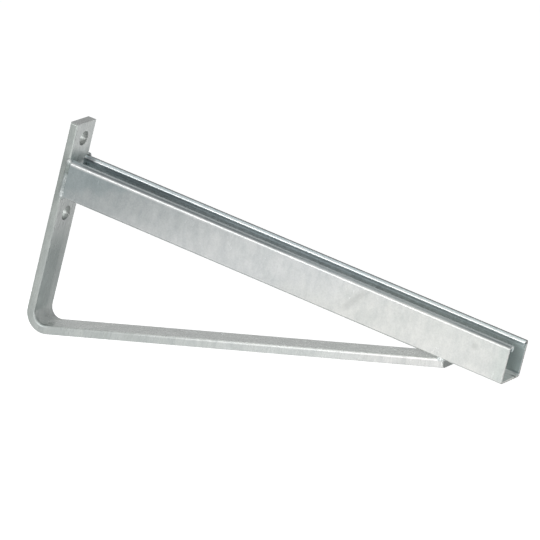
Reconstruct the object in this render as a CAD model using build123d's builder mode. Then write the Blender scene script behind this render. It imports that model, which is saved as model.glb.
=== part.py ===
# Channel support bracket: a lipped channel arm welded to one folded flat bar, hot-dip galvanised.
# Millimetres. The wall is the plane X = 0, the arm runs along +X, and +Z is up.
# The origin lies on the wall face, on the bracket's centreline, level with the arm's top.
from build123d import *
from math import atan, degrees
import os

# Channel arm
arm_length = 530.0
arm_width = 41.3
arm_height = 41.3
arm_wall = 2.5
arm_bend = 4.0
slot_width = 22.0
lip_depth = 6.5
lip_bend = 3.0
arm_cut_edge = 0.3

# Folded flat bar: wall plate and brace in one
bar_width = 38.0
bar_thickness = 9.5
bar_edge = 2.0
fold_radius = 12.0
plate_rise = 39.5
fold_drop = 185.7
brace_setback = 71.0
brace_land = 3.0

# Wall holes, by their height above the arm's top
hole_diameter = 16.0
upper_hole_height = 21.5
lower_hole_height = -62.5

# Weld beads
wall_bead_radius = 3.0
wall_bead_rise = 2.0
brace_bead_radius = 2.5
brace_bead_length = 7.0
brace_bead_corner = 2.8
bead_taper = 1.5

# Places worked out from the sizes
half_arm = arm_width / 2
half_bar = bar_width / 2
half_slot = slot_width / 2
half_seam = (half_arm + half_bar) / 2
brace_reach = bar_thickness + arm_length - brace_setback
brace_slope = (fold_drop - arm_height) / (brace_reach - bar_thickness)
brace_end = (brace_reach + brace_land, brace_land * brace_slope - arm_height)
wall_side = Plane.YZ.offset(bar_thickness)
brace_crotch = Plane((brace_reach, 0, -arm_height)).rotated((0, -degrees(atan(brace_slope)) / 2, 0))


def arm_corners():
    """The four outside corners of the arm's section, from the left flange round to the right."""
    return [(-half_arm, 0), (-half_arm, -arm_height), (half_arm, -arm_height), (half_arm, 0)]


# The arm is one strip, drawn by its outside line from the left lip's edge to the right lip's
with BuildPart() as channel_arm:
    with BuildSketch(wall_side):
        with BuildLine():
            FilletPolyline(
                (-half_slot, -lip_depth),
                (-half_slot, 0),
                *arm_corners(),
                (half_slot, 0),
                (half_slot, -lip_depth),
                radius=[lip_bend, arm_bend, arm_bend, arm_bend, arm_bend, lip_bend],
            )
            offset(amount=arm_wall, side=Side.LEFT)
        make_face()
    extrude(amount=arm_length)
    open_end = channel_arm.faces().sort_by(Axis.X)[-1]
    chamfer(open_end.edges(), length=arm_cut_edge)

# The space that the arm fills, lips and slot included, which the bar and the beads stay out of
with BuildPart() as arm_space:
    with BuildSketch(wall_side):
        with BuildLine():
            FilletPolyline(*arm_corners(), radius=arm_bend, close=True)
        make_face()
    extrude(amount=arm_length)

# The bar is drawn by its inner line: down the wall, round the fold and up to the arm.
# Its end is cut square, and the top corner is dressed flat where it bears on the arm's underside.
with BuildPart() as folded_bar:
    with BuildSketch(Plane.XZ):
        with BuildLine():
            FilletPolyline(
                (bar_thickness, plate_rise),
                (bar_thickness, -fold_drop),
                brace_end,
                radius=fold_radius,
            )
            offset(amount=bar_thickness, side=Side.RIGHT)
        make_face()
    extrude(amount=half_bar, both=True)
    bar_sides = folded_bar.faces().filter_by(Axis.Y)
    fillet(bar_sides.edges(), radius=bar_edge)
    with BuildSketch(Plane.YZ):
        with Locations((0, upper_hole_height), (0, lower_hole_height)):
            Circle(hole_diameter / 2)
    extrude(amount=bar_thickness, mode=Mode.SUBTRACT)
    add(arm_space.part, mode=Mode.SUBTRACT)

# One bead runs down the arm's left side, under it and up its right side, where it meets the plate
with BuildPart() as wall_weld:
    with BuildLine(wall_side) as wall_run:
        FilletPolyline(
            (-half_seam, wall_bead_rise),
            (-half_seam, -arm_height),
            (half_seam, -arm_height),
            (half_seam, wall_bead_rise),
            radius=arm_bend,
        )
    with BuildSketch(Plane(origin=wall_run.line @ 0, z_dir=wall_run.line % 0)):
        Circle(wall_bead_radius)
    sweep()
    chamfer(wall_weld.faces().filter_by(GeomType.PLANE).edges(), length=bead_taper)
    add(arm_space.part, mode=Mode.SUBTRACT)
    add(folded_bar.part, mode=Mode.SUBTRACT)

# A second bead fills the crotch between brace and arm, up one side, round the tip and back
with BuildPart() as brace_weld:
    with BuildLine(brace_crotch) as brace_run:
        FilletPolyline(
            (brace_land - brace_bead_length, -half_bar),
            (brace_land, -half_bar),
            (brace_land, half_bar),
            (brace_land - brace_bead_length, half_bar),
            radius=brace_bead_corner,
        )
    with BuildSketch(Plane(origin=brace_run.line @ 0, z_dir=brace_run.line % 0)):
        Circle(brace_bead_radius)
    sweep()
    chamfer(brace_weld.faces().filter_by(GeomType.PLANE).edges(), length=bead_taper)
    add(arm_space.part, mode=Mode.SUBTRACT)
    add(folded_bar.part, mode=Mode.SUBTRACT)

channel_arm.part.label = "channel_arm"
folded_bar.part.label = "folded_bar"
wall_weld.part.label = "wall_weld"
brace_weld.part.label = "brace_weld"

os.makedirs("parts", exist_ok=True)
export_step(channel_arm.part, "parts/channel_arm.step")
export_step(folded_bar.part, "parts/folded_bar.step")
export_step(wall_weld.part, "parts/wall_weld.step")
export_step(brace_weld.part, "parts/brace_weld.step")
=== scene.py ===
import math

import bpy
from mathutils import Matrix, Vector, noise


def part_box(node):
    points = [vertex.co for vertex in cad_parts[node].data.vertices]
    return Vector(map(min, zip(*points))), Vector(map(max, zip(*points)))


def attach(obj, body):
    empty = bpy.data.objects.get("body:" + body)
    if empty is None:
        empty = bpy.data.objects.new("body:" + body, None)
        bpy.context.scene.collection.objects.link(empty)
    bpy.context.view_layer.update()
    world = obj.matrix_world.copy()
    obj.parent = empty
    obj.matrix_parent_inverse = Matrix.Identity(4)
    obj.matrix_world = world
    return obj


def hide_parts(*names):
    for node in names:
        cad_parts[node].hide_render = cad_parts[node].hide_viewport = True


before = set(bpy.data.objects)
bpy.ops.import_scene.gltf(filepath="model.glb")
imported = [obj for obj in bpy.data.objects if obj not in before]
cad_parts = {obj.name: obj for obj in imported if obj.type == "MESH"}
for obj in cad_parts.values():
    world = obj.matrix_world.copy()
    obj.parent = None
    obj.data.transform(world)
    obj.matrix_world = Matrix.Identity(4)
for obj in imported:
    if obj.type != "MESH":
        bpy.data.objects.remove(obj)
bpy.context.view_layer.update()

# Where things are, from the CAD boxes
ARM_LOW, ARM_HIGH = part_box("channel_arm")
BAR_LOW, BAR_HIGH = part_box("folded_bar")
WALL_BEAD_LOW, WALL_BEAD_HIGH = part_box("wall_weld")
_, BRACE_BEAD_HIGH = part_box("brace_weld")
PLATE_FACE_X = ARM_LOW.x
HALF_BAR = BAR_HIGH.y

# Camera: a long lens, tilted a little, round the middle of the bracket; angles in degrees
CAMERA_AZIMUTH = 25.346
CAMERA_ELEVATION = 19.522
CAMERA_ROLL = 14.036
CAMERA_TARGET = Vector((0.24823, 0.00870, -0.03569))
CAMERA_DISTANCE = 6.12528
CAMERA_REACH = 100
LENS_MM = 400.0

# Studio
FLOOR_Z = BAR_LOW.z - 0.75
FLOOR_SIZE = 60
FLOOR_GREY = 0.8
FLOOR_GLOW = 0.92
AMBIENT_COLOUR = (0.95, 0.98, 1.0)
AMBIENT_STRENGTH = 0.10

# Sizes that match the CAD source
BAR_THICKNESS = 0.0095
ARM_WALL = 0.0025
BRACE_SLOPE = math.radians(17.463)
BRACE_LAND = 0.003
BRACE_BEAD_LENGTH = 0.007
WALL_BEAD_CORNER = 0.004
BRACE_BEAD_CORNER = 0.0028
FOLD_CENTRE = Vector((0.0215, 0, -0.16935))
FOLD_RADIUS = 0.012

# Sizes that follow from them: the bend radius at the middle of the arm's wall, how far the brace's end face
# reaches along the brace's own direction, and the radii of the beads
MIDDLE_BEND = 0.00275
BRACE_END = 0.43766
WALL_BEAD_RADIUS = WALL_BEAD_HIGH.x - PLATE_FACE_X
BRACE_BEAD_RADIUS = BRACE_BEAD_HIGH.y - HALF_BAR

# Bead mesh: length of a step, corners round it, and its surface as shares of the radius
BEAD_STEP = 0.0002
BEAD_SIDES = 20
BEAD_PITCH = 0.0019
BEAD_FULLNESS = 0.80
RIPPLE_HEIGHT = 0.10
RIPPLE_WANDER = 0.35
RIPPLE_WAVES = 400
LUMP_HEIGHT = 0.14
LUMP_WAVES = 160
LUMP_OFFSET = Vector((3, 1, 7))
END_BLOB = 0.10
END_TIP = 0.00005

# Zinc: waves per metre of each layer of noise, the tints of the two fine layers, and the surface
CLOUD_WAVES = 45
DRIP_WAVES = 170
GRAIN_WAVES = 700
GLOSS_WAVES = 110
PEEL_WAVES = 380
NOISE_ROUGHNESS = 0.6
DRIP_TINT = (0.88, 0.89, 0.90)
GRAIN_TINT = (0.90, 0.90, 0.90)
DRIP_LEAN = 0.5
PEEL_DEPTH = 0.0002
GLOSSIER = 0.04
DULLER = 0.06
SHEEN_LEVEL = 0.4

# Marks are the tones laid on over a piece's plain zinc, in this order: a few are the zinc's own tones and
# marks, and most are painted shade, painted shadow and painted highlights. Each has a tint, which
# multiplies the colour, and the masks whose product places it. A mask names a measure and its edges in metres:
#   (measure, start, full)                 0 before start and 1 past full, which may be the smaller
#   (measure, start, full, least)          the same, but never below least
#   (measure, start, full, full_end, end)  1 between the middle edges and 0 outside the outer ones
INSIDE_WALLS = ("across", 0.0186, 0.0183)
WALL_HEIGHT = ("z", -0.0384, -0.0370, -0.0026, -0.0016)
OUTSIDE_NEAR = ("y", -0.0203, -0.0206)
LESS_IN_CHANNEL = ("in_channel", 1, 0, 0.35)
BELOW_TOP_BEND = ("z", -0.0036, -0.0052)
FAR_LIP = ("y", 0.0102, 0.0110, 0.0136, 0.0144)
LOW_BEND = (("z", -0.0385, -0.0400), ("across", 0.0182, 0.0190))
CUT_FACE = ("x", 0.5390, 0.5394)
# Painted shade for the far lip's face
LIP_FACE_SHADE = (0.60, 0.61, 0.62)
SMEAR_TINT = (0.87, 0.87, 0.87)
SLANT = 2.4
SMEAR_SLANT = 0.75
RAGGED = 0.02
RAGGED_WAVES = 55

ARM_TONES_AND_PAINTED_LIGHT = {
    "darker towards the wall": ((0.57, 0.60, 0.605), ("slant", 0.31, 0.05), BELOW_TOP_BEND, LESS_IN_CHANNEL),
    "bluer near the wall weld": ((0.87, 0.92, 0.93), ("slant", 0.13, 0.07), BELOW_TOP_BEND, LESS_IN_CHANNEL),
    "warmer free half": ((1.05, 1.04, 1.01), ("slant", 0.32, 0.44)),
    "teal inside": ((0.88, 0.98, 1.01), INSIDE_WALLS, WALL_HEIGHT),
    # Painted light: lightens the inside walls below the lips, where the lips shade them.
    "painted light, walls below the lips": (
        (1.20, 1.15, 1.15),
        INSIDE_WALLS,
        ("z", -0.0384, -0.0370, -0.0070, -0.0062),
        ("x", 0.530, 0.500),
    ),
    # Painted light: lightens the inside walls near the plate, which lie in the plate's shadow.
    "painted light, walls near the plate": ((1.50, 1.50, 1.50), INSIDE_WALLS, WALL_HEIGHT, ("x", 0.045, 0.015)),
    # Painted light: a light band on the inside walls just under the lips.
    "painted light band under the lips": (
        (1.22, 1.22, 1.21),
        INSIDE_WALLS,
        ("z", -0.0120, -0.0106, -0.0078, -0.0064),
        ("x", 0.08, 0.14),
    ),
    # Painted shade: darkens the far inside wall at the open end, where light comes in.
    "painted shade, far wall at the open end": (
        (0.775, 0.79, 0.78),
        INSIDE_WALLS,
        ("y", 0, 0.001),
        ("z", -0.0384, -0.0370, -0.0072, -0.0066),
        ("x", 0.521, 0.532, 0.5378, 0.5390),
    ),
    # Painted light: lightens the floor of the channel, deep in the recess.
    "painted light, channel base": ((1.56, 1.61, 1.61), INSIDE_WALLS, ("z", -0.0394, -0.0390, -0.0384, -0.0370)),
    # Painted shade: darkens the tops of the flanges, as little light falls on them.
    "painted shade, top faces": ((0.79, 0.87, 0.89), ("z", -0.0012, -0.0005)),
    # Painted light: lightens the near flange's top beside the plate, out of the plate's shade.
    "painted light, near flange at the plate": (
        (1.26, 1.26, 1.27),
        ("z", -0.0016, -0.0005),
        ("x", 0.034, 0.018),
        ("y", 0, -0.001),
    ),
    # Painted shade: a dark line beside the highlights on the outer top bends.
    "painted shade beside the top bends": (
        (0.45, 0.46, 0.47),
        ("across", 0.0170, 0.0178, 0.0194, 0.0202),
        ("z", -0.0022, -0.0012),
        ("x", 0.018, 0.036, 0.45),
        ("in_far_part", 1, 0, 0.35),
    ),
    # Painted highlight: a lighter line along the bend of the lip on the near side.
    "painted highlight, near side's lip": ((1.08, 1.08, 1.08), ("y", -0.0156, -0.0150, -0.0126, -0.0120), ("z", -0.0024, -0.0014)),
    # Painted highlight: a bright line along the far lip's bend.
    "painted highlight along the far lip": ((1.72, 1.74, 1.76), FAR_LIP, ("z", -0.0026, -0.0020)),
    # Painted shade: darkens the far lip's face under its painted highlight, and the lip's top towards the wall.
    "painted shade under the far lip's highlight": (LIP_FACE_SHADE, FAR_LIP, ("z", -0.0054, -0.0038, -0.0026, -0.0020)),
    "painted shade, far lip towards the wall": (LIP_FACE_SHADE, FAR_LIP, ("z", -0.0014, -0.0022), ("x", 0.22, 0.08)),
    # Painted shadow: darkens the far lip beside the plate, in the shadow of the plate and the weld.
    "painted shadow, far lip at the plate": (
        (0.53, 0.54, 0.55),
        ("y", 0.0100, 0.0105, 0.0137, 0.0145),
        ("x", 0.0100, 0.0140, 0.0200, 0.0240),
        ("z", -0.0056, -0.0030),
    ),
    # Painted light: lightens the lower part of the far lip's face.
    "painted light, lower far lip face": (
        (1.18, 1.18, 1.19),
        ("y", 0.0100, 0.0105, 0.0122, 0.0130),
        ("z", -0.0040, -0.0052),
        ("x", 0.05, 0.15, 0.39, 0.49),
    ),
    # Painted shade: darkens the far flange's top out to its outer bend.
    "painted shade, far flange's outer bend": ((0.47, 0.46, 0.46), ("y", 0.0137, 0.0148), ("z", -0.0050, -0.0040)),
    # Painted shade: a grey line along the lower outer bends away from the plate; the next mark is painted light
    # on them near the plate.
    "lower bends": ((0.66, 0.68, 0.68), *LOW_BEND, ("x", 0.030, 0.055)),
    "painted light, lower bends at the plate": ((1.45, 1.42, 1.40), *LOW_BEND, ("x", 0.055, 0.030)),
    "drip mark at the open end": (
        (0.42, 0.42, 0.42),
        ("y", 0.0081, 0.0093, 0.0117, 0.0129),
        ("x", 0.532, 0.537),
        ("z", -0.0375, -0.0385),
    ),
    # Painted shade: darkens the near side's last stretch by the free end.
    "painted shade, near side's free end": ((0.87, 0.90, 0.895), ("x", 0.523, 0.533), OUTSIDE_NEAR),
    "cut face of the far wall": ((0.66, 0.63, 0.62), CUT_FACE, ("y", 0.0178, 0.0184)),
    "cut face of the base": ((0.74, 0.74, 0.72), CUT_FACE, ("z", -0.0380, -0.0386)),
    # Painted shade: darkens the far inner bend at the open end, hiding its reflection.
    "painted shade, far inner bend at the open end": (
        (0.62, 0.63, 0.64),
        ("y", 0.0155, 0.0166, 0.0183, 0.0186),
        ("z", -0.0350, -0.0364),
        ("x", 0.5295, 0.5335),
    ),
    "smear": (
        SMEAR_TINT,
        ("smear_line", 0.3685, 0.3745, 0.3765, 0.3825),
        ("z", -0.036, -0.027, -0.009, 0.0),
    ),
    "spot": (
        SMEAR_TINT,
        ("x", 0.4968, 0.5008, 0.5032, 0.5072),
        ("z", -0.0187, -0.0147, -0.0123, -0.0083),
        OUTSIDE_NEAR,
    ),
}

PLATE_FRONT = (("x", 0.0088, 0.0095), ("across", 0.0184, 0.0178))
SIDE_FACES = ("across", 0.0180, 0.0186)
PLATE_SIDES = (SIDE_FACES, ("x", 0.012, 0.0095))
IN_FOLD = (("from_fold", FOLD_RADIUS + 0.0030, FOLD_RADIUS + 0.0006), ("x", 0.0108, 0.0135))
EDGE_TINT = (0.93, 0.935, 0.93)
BAR_MOTTLE_WAVES = 260

BAR_TONES_AND_PAINTED_LIGHT = {
    # Painted shadow: darkens the plate's front between the arm and the fold, where the arm shades it.
    "painted shadow, plate front over the fold": (
        (0.53, 0.585, 0.575),
        *PLATE_FRONT,
        ("z", -0.062, -0.108),
        ("x", 0.06, 0.018),
        ("y", 0.009, 0.004, 0.6),
        ("z", -0.174, -0.166, 0.4),
    ),
    # Painted shade: darkens the plate's front along the arm's top, beside the dark slot and the weld.
    "painted shade, plate front along the arm's top": (
        (0.55, 0.60, 0.60),
        *PLATE_FRONT,
        ("z", -0.007, -0.002, 0.001, 0.017),
        ("y", 0.010, -0.016, 0.7),
    ),
    # Painted light: lightens the plate's front within the channel, where it lies in shade.
    "painted light, plate front in the channel": (
        (1.6, 1.6, 1.62),
        *PLATE_FRONT,
        ("z", -0.0400, -0.0385, -0.0065, -0.0050),
        ("y", 0.004, 0.009),
    ),
    "plate sides, lower part": (EDGE_TINT, *PLATE_SIDES, ("z", -0.115, -0.075)),
    "plate sides": (EDGE_TINT, *PLATE_SIDES),
    "plate sides, towards the wall": (EDGE_TINT, *PLATE_SIDES, ("x", 0.0065, 0.0025)),
    "dark band beside the wall weld": (
        (0.76, 0.77, 0.77),
        *PLATE_SIDES,
        ("z", -0.058, -0.044, 0.0, 0.014),
        ("x", 0.0085, 0.0045),
        ("mottle", 0.35, 0.55, 0.4),
    ),
    # Painted shade: the bar's sides darker towards the wall, where less light reaches.
    "painted shade, sides towards the wall": ((0.86, 0.88, 0.87), SIDE_FACES, ("x", 0.42, 0.0)),
    # Painted light: lightens the brace's top and the bar's other broad faces past the fold.
    "painted light, brace's top and broad faces": ((1.18, 1.19, 1.17), ("x", 0.014, 0.022), ("across", 0.0186, 0.0180)),
    # Painted shade of a crease inside the fold by the near edge, and a painted highlight on the rim beside it.
    "painted shade, crease inside the fold": ((0.66, 0.68, 0.68), *IN_FOLD, ("y", -0.0176, -0.0164, -0.0146, -0.0134)),
    "painted highlight, fold's rim": ((1.22, 1.24, 1.24), *IN_FOLD, ("y", -0.0170, -0.0180)),
    # Painted highlight: a white line along the brace's upper near edge.
    "painted highlight, brace's upper edge": (
        (1.36, 1.34, 1.34),
        ("y", -0.0164, -0.0172),
        ("above_brace", -0.1826, -0.1818),
        ("x", 0.03, 0.30),
    ),
    # Painted light: the brace's sides lighter towards the free end.
    "painted light, brace's sides at the free end": ((1.05, 1.02, 1.02), SIDE_FACES, ("x", 0.33, 0.42)),
    # Painted shade: dims the glint on the rounded edges at the brace's end.
    "painted shade, brace's sides at the very end": (
        (0.78, 0.79, 0.79),
        SIDE_FACES,
        ("along_brace", BRACE_END - 0.0032, BRACE_END - 0.0018),
    ),
    # Painted shade: darkens the brace's end face, which faces down.
    "painted shade, brace's end face": ((0.55, 0.56, 0.56), ("along_brace", BRACE_END - 0.0007, BRACE_END - 0.0003)),
}

# The wall holes: height, how far below it the painted light spot lies, and the tints of the painted light on
# the spot and on the low end; each bore also gets painted shade
HOLES = {"upper": (0.0215, 0.0024, 1.4, 1.12), "lower": (-0.0625, 0.0032, 1.7, 1.55)}
# Painted shade of the bores
BORE_SHADE_TINT = (0.62, 0.63, 0.62)
for hole, (height, spot_drop, spot_light_tint, low_end_light_tint) in HOLES.items():
    spot_z = height - spot_drop
    bore = (
        ("z", height - 0.0084, height - 0.0081, height + 0.0081, height + 0.0084),
        ("across", 0.0090, 0.0084),
        ("x", 0.0004, 0.0008, 0.0090, 0.0094),
    )
    spot = (("x", 0.0062, 0.0040), ("z", spot_z - 0.0038, spot_z - 0.0022, spot_z + 0.0022, spot_z + 0.0038))
    # Painted shade darkens each bore; painted light lightens its low end and a spot near the back.
    BAR_TONES_AND_PAINTED_LIGHT[f"{hole} bore"] = (BORE_SHADE_TINT, *bore)
    BAR_TONES_AND_PAINTED_LIGHT[f"{hole} bore, low end"] = ((low_end_light_tint,) * 3, *bore, ("z", height - 0.0040, height - 0.0060))
    BAR_TONES_AND_PAINTED_LIGHT[f"{hole} bore, light spot"] = ((spot_light_tint,) * 3, *bore, *spot)

# Painted highlight for the beads
WELD_HIGHLIGHT_TINT = (1.55, 1.50, 1.50)
WELD_MOTTLE_WAVES = 420
WELD_TONES_AND_PAINTED_LIGHT = {
    "mottle": ((0.80, 0.82, 0.81), ("mottle", 0.42, 0.60)),
    "dark below the arm's top": ((0.55, 0.58, 0.56), ("z", -0.0165, -0.0125, -0.0045, -0.0005)),
    # Painted highlights on the wall bead's upper ends and lower corners, and painted light over the whole brace
    # bead.
    "painted highlight, upper ends": (WELD_HIGHLIGHT_TINT, ("z", -0.0020, 0.0000)),
    "painted highlight, lower corners": (WELD_HIGHLIGHT_TINT, ("z", -0.0405, -0.0385, -0.0345, -0.0325)),
    "painted light, brace bead": (WELD_HIGHLIGHT_TINT, ("x", 0.20, 0.30)),
}


# Shader nodes
def new_material(name):
    """A material with an empty tree and its output node."""
    material = bpy.data.materials.new(name)
    material.use_nodes = True
    tree = material.node_tree
    tree.nodes.clear()
    return material, tree, tree.nodes.new("ShaderNodeOutputMaterial")


def maths(tree, operation, first, second=0):
    """The result of one maths node; first and second may be sockets or numbers."""
    node = tree.nodes.new("ShaderNodeMath")
    node.operation = operation
    for socket, value in zip(node.inputs, (first, second)):
        if isinstance(value, (int, float)):
            socket.default_value = value
        else:
            tree.links.new(value, socket)
    return node.outputs[0]


def mapped_noise(tree, scale, stretch=(1, 1, 1), detail=3.0, turn=0.0, offset=(0, 0, 0)):
    """Noise over object coordinates; scale is in waves per metre, stretch squeezes an axis."""
    place = tree.nodes.new("ShaderNodeTexCoord")
    mapping = tree.nodes.new("ShaderNodeMapping")
    mapping.inputs["Scale"].default_value = stretch
    mapping.inputs["Location"].default_value = offset
    mapping.inputs["Rotation"].default_value = (0, turn, 0)
    texture = tree.nodes.new("ShaderNodeTexNoise")
    texture.inputs["Scale"].default_value = scale
    texture.inputs["Detail"].default_value = detail
    texture.inputs["Roughness"].default_value = NOISE_ROUGHNESS
    tree.links.new(place.outputs["Object"], mapping.inputs["Vector"])
    tree.links.new(mapping.outputs["Vector"], texture.inputs["Vector"])
    return texture.outputs["Fac"]


def span(tree, value, out_low, out_high, in_low=0.25, in_high=0.75):
    """value, eased from in_low..in_high to out_low..out_high and held at both ends."""
    node = tree.nodes.new("ShaderNodeMapRange")
    node.interpolation_type = "SMOOTHSTEP"
    node.inputs["From Min"].default_value = in_low
    node.inputs["From Max"].default_value = in_high
    node.inputs["To Min"].default_value = out_low
    node.inputs["To Max"].default_value = out_high
    tree.links.new(value, node.inputs["Value"])
    return node.outputs["Result"]


def rise(tree, value, start, full, least=0):
    """least where value is before start and 1 where it is past full, which may be the smaller."""
    if start < full:
        return span(tree, value, least, 1, start, full)
    return span(tree, value, 1, least, full, start)


def tinted(tree, colour, tint, amount):
    """colour, multiplied by tint where amount is 1 and left alone where it is 0, and kept within 0 to 1."""
    shade = tree.nodes.new("ShaderNodeMix")
    shade.data_type = "RGBA"
    shade.blend_type = "MULTIPLY"
    shade.clamp_result = True
    shade.inputs["B"].default_value = (*tint, 1)
    tree.links.new(amount, shade.inputs["Factor"])
    tree.links.new(colour, shade.inputs["A"])
    return shade.outputs["Result"]


def between(tree, amount, dark, light):
    """A colour that goes from dark where amount is 0 to light where it is 1."""
    mix = tree.nodes.new("ShaderNodeMix")
    mix.data_type = "RGBA"
    mix.inputs["A"].default_value = (*dark, 1)
    mix.inputs["B"].default_value = (*light, 1)
    tree.links.new(amount, mix.inputs["Factor"])
    return mix.outputs["Result"]


# Marks
def placed(tree, measures, masks):
    """The product of several masks, each written as the tables of marks have it."""
    product = None
    for measure, start, full, *rest in masks:
        value = measures[measure]
        if len(rest) == 2:
            full_end, end = rest
            mask = maths(tree, "MULTIPLY", rise(tree, value, start, full), rise(tree, value, end, full_end))
        else:
            mask = rise(tree, value, start, full, *rest)
        product = mask if product is None else maths(tree, "MULTIPLY", product, mask)
    return product


def marked(tree, colour, marks, measures):
    """colour with every mark's tint laid over it in turn."""
    for tint, *masks in marks.values():
        colour = tinted(tree, colour, tint, placed(tree, measures, masks))
    return colour


def coordinates(tree):
    """Measures that every piece has: its coordinates in metres, and the distance across from the middle."""
    place = tree.nodes.new("ShaderNodeTexCoord")
    parts = tree.nodes.new("ShaderNodeSeparateXYZ")
    tree.links.new(place.outputs["Object"], parts.inputs[0])
    measures = {name.lower(): parts.outputs[name] for name in "XYZ"}
    measures["across"] = maths(tree, "ABSOLUTE", measures["y"])
    return measures


def arm_measures(tree):
    """The arm's: a ragged slant away from the wall, the smear's line, the channel and the far part."""
    at = coordinates(tree)
    ragged = span(tree, mapped_noise(tree, RAGGED_WAVES, detail=5, offset=(2, 9, 4)), -RAGGED, RAGGED)
    from_wall = maths(tree, "ADD", at["x"], ragged)
    at["slant"] = maths(tree, "SUBTRACT", from_wall, maths(tree, "MULTIPLY", at["z"], SLANT))
    at["smear_line"] = maths(tree, "SUBTRACT", at["x"], maths(tree, "MULTIPLY", at["z"], SMEAR_SLANT))
    at["in_channel"] = placed(tree, at, [INSIDE_WALLS, ("z", -0.0396, -0.0388)])
    at["in_far_part"] = placed(tree, at, [("x", 0.23, 0.33, 0.43, 0.53)])
    return at


def bar_measures(tree):
    """The bar's: the distance from the fold's centre, two measures that lean with the brace, and a mottle."""
    at = coordinates(tree)
    sideways = maths(tree, "POWER", maths(tree, "SUBTRACT", at["x"], FOLD_CENTRE.x), 2.0)
    upward = maths(tree, "POWER", maths(tree, "SUBTRACT", at["z"], FOLD_CENTRE.z), 2.0)
    at["from_fold"] = maths(tree, "SQRT", maths(tree, "ADD", sideways, upward))
    cosine, sine = math.cos(BRACE_SLOPE), math.sin(BRACE_SLOPE)
    at["above_brace"] = maths(
        tree, "SUBTRACT", maths(tree, "MULTIPLY", at["z"], cosine), maths(tree, "MULTIPLY", at["x"], sine)
    )
    at["along_brace"] = maths(
        tree, "ADD", maths(tree, "MULTIPLY", at["x"], cosine), maths(tree, "MULTIPLY", at["z"], sine)
    )
    at["mottle"] = mapped_noise(tree, BAR_MOTTLE_WAVES, detail=3, offset=(5, 5, 9))
    return at


def weld_measures(tree):
    """The beads': their coordinates and a mottle."""
    at = coordinates(tree)
    at["mottle"] = mapped_noise(tree, WELD_MOTTLE_WAVES, detail=3, offset=(2, 7, 3))
    return at


# Materials
def galvanised(name, dark, light, metallic, rough, streak, bump, marks, measures):
    """Zinc-dipped steel: soft mottling, drawn-out streaks, marks of its own with painted shade and highlights,
    patchy gloss and a faint orange peel.
    """
    material, tree, out = new_material(name)
    shader = tree.nodes.new("ShaderNodeBsdfPrincipled")
    shader.inputs["Metallic"].default_value = metallic
    shader.inputs["Specular IOR Level"].default_value = SHEEN_LEVEL
    cloud = mapped_noise(tree, CLOUD_WAVES, detail=6, offset=(1, 4, 2))
    colour = between(tree, span(tree, cloud, 0, 1), dark, light)
    drips = mapped_noise(tree, DRIP_WAVES, stretch=streak, detail=5, turn=DRIP_LEAN, offset=(3, 1, 2))
    colour = tinted(tree, colour, DRIP_TINT, rise(tree, drips, 0.35, 0.75))
    grain = mapped_noise(tree, GRAIN_WAVES, detail=3, offset=(6, 2, 8))
    colour = tinted(tree, colour, GRAIN_TINT, rise(tree, grain, 0.3, 0.7))
    colour = marked(tree, colour, marks, measures(tree))
    tree.links.new(colour, shader.inputs["Base Color"])
    patches = mapped_noise(tree, GLOSS_WAVES, stretch=streak, detail=4, offset=(7, 5, 1))
    tree.links.new(span(tree, patches, rough - GLOSSIER, rough + DULLER), shader.inputs["Roughness"])
    relief = tree.nodes.new("ShaderNodeBump")
    relief.inputs["Strength"].default_value = bump
    relief.inputs["Distance"].default_value = PEEL_DEPTH
    tree.links.new(mapped_noise(tree, PEEL_WAVES, detail=2), relief.inputs["Height"])
    tree.links.new(relief.outputs["Normal"], shader.inputs["Normal"])
    tree.links.new(shader.outputs["BSDF"], out.inputs["Surface"])
    return material


channel_zinc = galvanised(
    name="channel_zinc",
    dark=(0.58, 0.60, 0.595),
    light=(0.66, 0.67, 0.665),
    metallic=0.14,
    rough=0.22,
    streak=(1, 1, 0.4),
    bump=0.2,
    marks=ARM_TONES_AND_PAINTED_LIGHT,
    measures=arm_measures,
)
bar_zinc = galvanised(
    name="bar_zinc",
    dark=(0.54, 0.565, 0.55),
    light=(0.65, 0.67, 0.655),
    metallic=0.12,
    rough=0.27,
    streak=(1, 1, 0.25),
    bump=0.3,
    marks=BAR_TONES_AND_PAINTED_LIGHT,
    measures=bar_measures,
)
weld_zinc = galvanised(
    name="weld_zinc",
    dark=(0.38, 0.42, 0.42),
    light=(0.62, 0.65, 0.64),
    metallic=0.14,
    rough=0.20,
    streak=(1, 1, 1),
    bump=0.3,
    marks=WELD_TONES_AND_PAINTED_LIGHT,
    measures=weld_measures,
)


def dress(node, material):
    """The CAD node wears this material alone."""
    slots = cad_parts[node].data.materials
    slots.clear()
    slots.append(material)


dress("channel_arm", channel_zinc)
dress("folded_bar", bar_zinc)


# Weld beads
def rounded_path(corners, radius):
    """Points a step apart along straight runs whose right-angled corners are rounded."""

    def run(first, last):
        count = max(1, round((last - first).length / BEAD_STEP))
        return [first.lerp(last, i / count) for i in range(count)]

    points = []
    start = corners[0]
    for before, corner, after in zip(corners, corners[1:], corners[2:]):
        into = (corner - before).normalized()
        out = (after - corner).normalized()
        centre = corner - into * radius + out * radius
        points += run(start, corner - into * radius)
        count = max(2, round(radius * math.pi / 2 / BEAD_STEP))
        for i in range(count):
            angle = math.pi / 2 * i / count
            across_arc, along_arc = radius * math.cos(angle), radius * math.sin(angle)
            points.append(centre - out * across_arc + into * along_arc)
        start = corner + out * radius
    return points + run(start, corners[-1]) + [corners[-1]]


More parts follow.
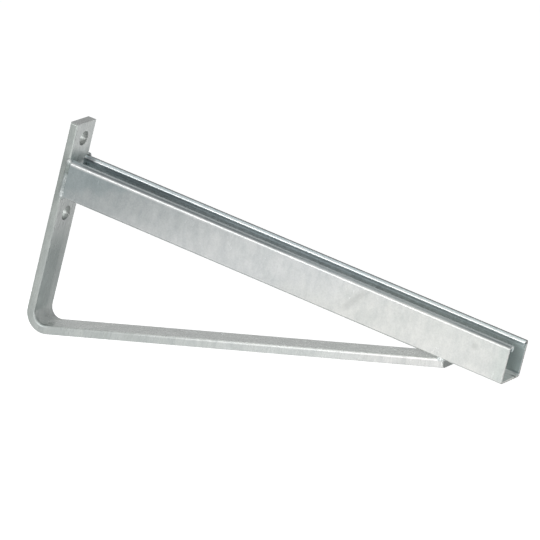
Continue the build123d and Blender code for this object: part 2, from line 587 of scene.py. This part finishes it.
def swell(place, along, left, radius):
    """The bead's radius at one point: ripples that follow the torch, slow lumps and rounded ends."""
    from_end = min(along, left)
    phase = (along / BEAD_PITCH + RIPPLE_WANDER * noise.noise(place * RIPPLE_WAVES)) % 1.0
    ripple = RIPPLE_HEIGHT * (1 - phase) ** 2
    lumps = LUMP_HEIGHT * noise.noise(place * LUMP_WAVES + LUMP_OFFSET)
    blob = END_BLOB * math.exp(-(((from_end - radius) / radius) ** 2))
    nose = min(1.0, (from_end + END_TIP) / radius)
    return radius * min(1.0, BEAD_FULLNESS + ripple + lumps + blob) * math.sqrt(1 - (1 - nose) ** 2)


def kept_out_of_channel(corner):
    """corner, pushed back into the middle of the arm's wall where it would show inside the channel."""
    if corner.x < PLATE_FACE_X:
        return corner
    middle_y = ARM_HIGH.y - ARM_WALL / 2
    middle_z = ARM_LOW.z + ARM_WALL / 2
    side = math.copysign(1, corner.y)
    place = Vector((abs(corner.y), corner.z))
    core = Vector((min(place.x, middle_y - MIDDLE_BEND), max(place.y, middle_z + MIDDLE_BEND)))
    away = place - core
    if away.length == 0 or away.length >= MIDDLE_BEND:
        return corner
    core += away.normalized() * MIDDLE_BEND
    return Vector((corner.x, side * core.x, core.y))


def make_bead(name, path, facing, radius, node):
    """A rippled bead swept along a flat path; facing is the path's own normal."""
    along = [0.0]
    for first, last in zip(path, path[1:]):
        along.append(along[-1] + (last - first).length)
    corners = []
    for i, place in enumerate(path):
        ahead = (path[min(i + 1, len(path) - 1)] - path[max(i - 1, 0)]).normalized()
        side = facing.cross(ahead)
        size = swell(place, along[i], along[-1] - along[i], radius)
        for k in range(BEAD_SIDES):
            turn = 2 * math.pi * k / BEAD_SIDES
            corner = place + facing * (size * math.cos(turn)) + side * (size * math.sin(turn))
            corners.append(kept_out_of_channel(corner))
    faces = []
    for i in range(len(path) - 1):
        for k in range(BEAD_SIDES):
            here, there = i * BEAD_SIDES, (i + 1) * BEAD_SIDES
            following = (k + 1) % BEAD_SIDES
            faces.append((here + k, there + k, there + following, here + following))
    faces.append(tuple(reversed(range(BEAD_SIDES))))
    faces.append(tuple(range(len(corners) - BEAD_SIDES, len(corners))))
    mesh = bpy.data.meshes.new(name)
    mesh.from_pydata(corners, [], faces)
    mesh.validate()
    for polygon in mesh.polygons:
        polygon.use_smooth = True
    mesh.materials.append(weld_zinc)
    bead = bpy.data.objects.new(name, mesh)
    bpy.context.scene.collection.objects.link(bead)
    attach(bead, "root")
    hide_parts(node)


wall_seam_y = WALL_BEAD_HIGH.y - WALL_BEAD_RADIUS
wall_seam_low = WALL_BEAD_LOW.z + WALL_BEAD_RADIUS
wall_seam = rounded_path(
    [
        Vector((PLATE_FACE_X, -wall_seam_y, WALL_BEAD_HIGH.z)),
        Vector((PLATE_FACE_X, -wall_seam_y, wall_seam_low)),
        Vector((PLATE_FACE_X, wall_seam_y, wall_seam_low)),
        Vector((PLATE_FACE_X, wall_seam_y, WALL_BEAD_HIGH.z)),
    ],
    WALL_BEAD_CORNER,
)
make_bead("wall_bead", wall_seam, Vector((1, 0, 0)), WALL_BEAD_RADIUS, "wall_weld")

# The brace's bead lies in the plane that halves the angle between brace and arm
crotch_along = Vector((math.cos(BRACE_SLOPE / 2), 0, math.sin(BRACE_SLOPE / 2)))
crotch_facing = Vector((math.sin(BRACE_SLOPE / 2), 0, -math.cos(BRACE_SLOPE / 2)))
brace_reach = BAR_HIGH.x - BAR_THICKNESS * math.sin(BRACE_SLOPE) - BRACE_LAND
crotch = Vector((brace_reach, 0, ARM_LOW.z))
brace_back = crotch + crotch_along * (BRACE_LAND - BRACE_BEAD_LENGTH)
brace_front = crotch + crotch_along * BRACE_LAND
half_width = Vector((0, HALF_BAR, 0))
brace_seam = rounded_path(
    [brace_back - half_width, brace_front - half_width, brace_front + half_width, brace_back + half_width],
    BRACE_BEAD_CORNER,
)
make_bead("brace_bead", brace_seam, crotch_facing, BRACE_BEAD_RADIUS, "brace_weld")


# Floor, world and lights
def studio_rays(tree):
    """1 on camera, glossy and transmission rays, which see the plain white studio."""
    path = tree.nodes.new("ShaderNodeLightPath")
    result = path.outputs["Is Camera Ray"]
    for kind in ("Is Glossy Ray", "Is Transmission Ray"):
        result = maths(tree, "MAXIMUM", result, path.outputs[kind])
    return result


def make_floor():
    """A wide white floor well below the bracket, which keeps its shadow."""
    bpy.ops.mesh.primitive_plane_add(size=FLOOR_SIZE, location=(CAMERA_TARGET.x, 0, FLOOR_Z))
    floor = bpy.context.object
    floor.name = "floor"
    material, tree, out = new_material("floor_white")
    matt = tree.nodes.new("ShaderNodeBsdfDiffuse")
    matt.inputs["Color"].default_value = (FLOOR_GREY, FLOOR_GREY, FLOOR_GREY, 1)
    glow = tree.nodes.new("ShaderNodeEmission")
    seen = maths(tree, "MULTIPLY", studio_rays(tree), FLOOR_GLOW)
    tree.links.new(seen, glow.inputs["Strength"])
    both = tree.nodes.new("ShaderNodeAddShader")
    tree.links.new(matt.outputs[0], both.inputs[0])
    tree.links.new(glow.outputs[0], both.inputs[1])
    tree.links.new(both.outputs[0], out.inputs["Surface"])
    floor.data.materials.append(material)


def make_world():
    """Faint even studio light; camera, glossy and transmission rays see plain white."""
    world = bpy.data.worlds.new("studio")
    bpy.context.scene.world = world
    world.use_nodes = True
    tree = world.node_tree
    tree.nodes.clear()
    out = tree.nodes.new("ShaderNodeOutputWorld")
    ambient = tree.nodes.new("ShaderNodeBackground")
    ambient.inputs["Color"].default_value = (*AMBIENT_COLOUR, 1)
    ambient.inputs["Strength"].default_value = AMBIENT_STRENGTH
    white = tree.nodes.new("ShaderNodeBackground")
    white.inputs["Strength"].default_value = 1.0
    mix = tree.nodes.new("ShaderNodeMixShader")
    tree.links.new(studio_rays(tree), mix.inputs["Fac"])
    tree.links.new(ambient.outputs[0], mix.inputs[1])
    tree.links.new(white.outputs[0], mix.inputs[2])
    tree.links.new(mix.outputs[0], out.inputs["Surface"])


def make_lamp(name, place, aim, width, height, watts, in_gloss=True):
    """A soft lamp at place, turned towards aim; without in_gloss, reflections leave it out."""
    data = bpy.data.lights.new(name, "AREA")
    data.shape = "RECTANGLE"
    data.size = width
    data.size_y = height
    data.energy = watts
    lamp = bpy.data.objects.new(name, data)
    lamp.location = place
    lamp.rotation_euler = (Vector(aim) - Vector(place)).to_track_quat("-Z", "Y").to_euler()
    lamp.visible_glossy = in_gloss
    bpy.context.scene.collection.objects.link(lamp)


def make_camera():
    """The camera on its sphere round the target, rolled as the photograph is."""
    azimuth, elevation = math.radians(CAMERA_AZIMUTH), math.radians(CAMERA_ELEVATION)
    level_part = math.cos(elevation)
    back = Vector((math.sin(azimuth) * level_part, -math.cos(azimuth) * level_part, math.sin(elevation)))
    level = (-back).to_track_quat("-Z", "Y")
    data = bpy.data.cameras.new("camera")
    data.lens = LENS_MM
    data.clip_end = CAMERA_REACH
    camera = bpy.data.objects.new("camera", data)
    camera.location = CAMERA_TARGET + back * CAMERA_DISTANCE
    camera.rotation_mode = "QUATERNION"
    roll = Matrix.Rotation(math.radians(CAMERA_ROLL), 3, "Z").to_quaternion()
    camera.rotation_quaternion = level @ roll
    bpy.context.scene.collection.objects.link(camera)
    bpy.context.scene.camera = camera


make_floor()
make_world()
make_lamp("key", place=(-0.63, -1.80, 0.65), aim=(0.25, 0, 0), width=0.9, height=0.9, watts=18)
make_lamp("end_fill", place=(0.62, -0.75, -0.03), aim=(0.5, 0, -0.03), width=0.5, height=0.5, watts=4.9)
make_lamp(
    "rear_fill", place=(-1.67, 1.2, -0.8), aim=(0.25, 0, -0.05), width=1.0, height=0.6, watts=32, in_gloss=False
)
make_lamp("right", place=(2.4, 0, 0.85), aim=(0, 0, 0), width=0.35, height=0.35, watts=20)
make_camera()

scene = bpy.context.scene
scene.view_settings.view_transform = "Standard"
